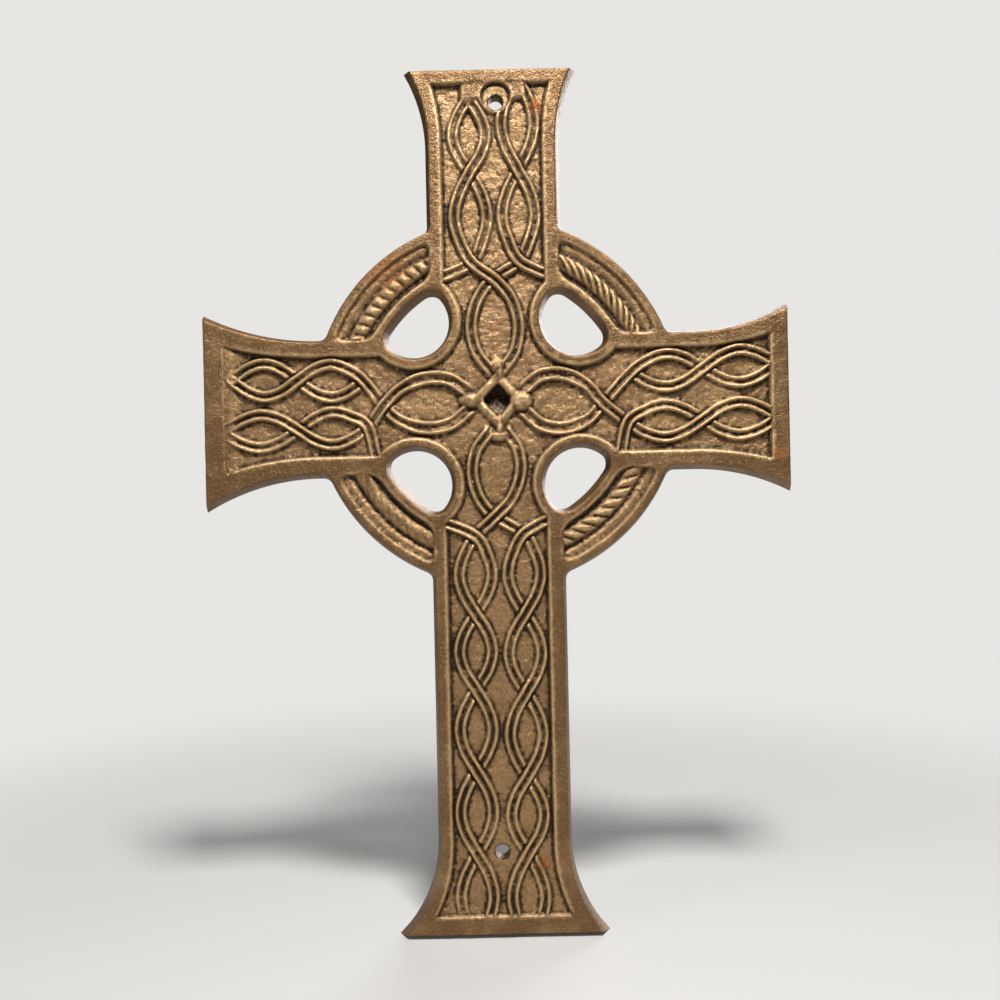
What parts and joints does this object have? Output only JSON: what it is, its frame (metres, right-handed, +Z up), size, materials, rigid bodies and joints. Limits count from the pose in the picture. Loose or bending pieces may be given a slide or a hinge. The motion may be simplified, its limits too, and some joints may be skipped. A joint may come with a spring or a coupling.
{
  "type": "celtic wall cross",
  "caption": "Flat ringed cross cast in iron, with interlaced ribbon panels, a rope-moulded ring, pierced quadrants and screw holes for hanging on a wall.",
  "frame": {"origin": "centre of the ring, on the flat back that lies against the wall", "axes": "+Y into the wall, so the carved front faces -Y; +Z up the cross; +X to the right of someone facing it"},
  "size_m": [0.2054, 0.008, 0.3023],
  "materials": {
    "patinated_iron": "sand-cast iron with a warm bronze-brown lacquer, worn bright on the edges, dark in the hollows, a few rust blooms"
  },
  "bodies": {
    "root": {"celtic_cross": "patinated_iron"}
  },
  "joints": []
}
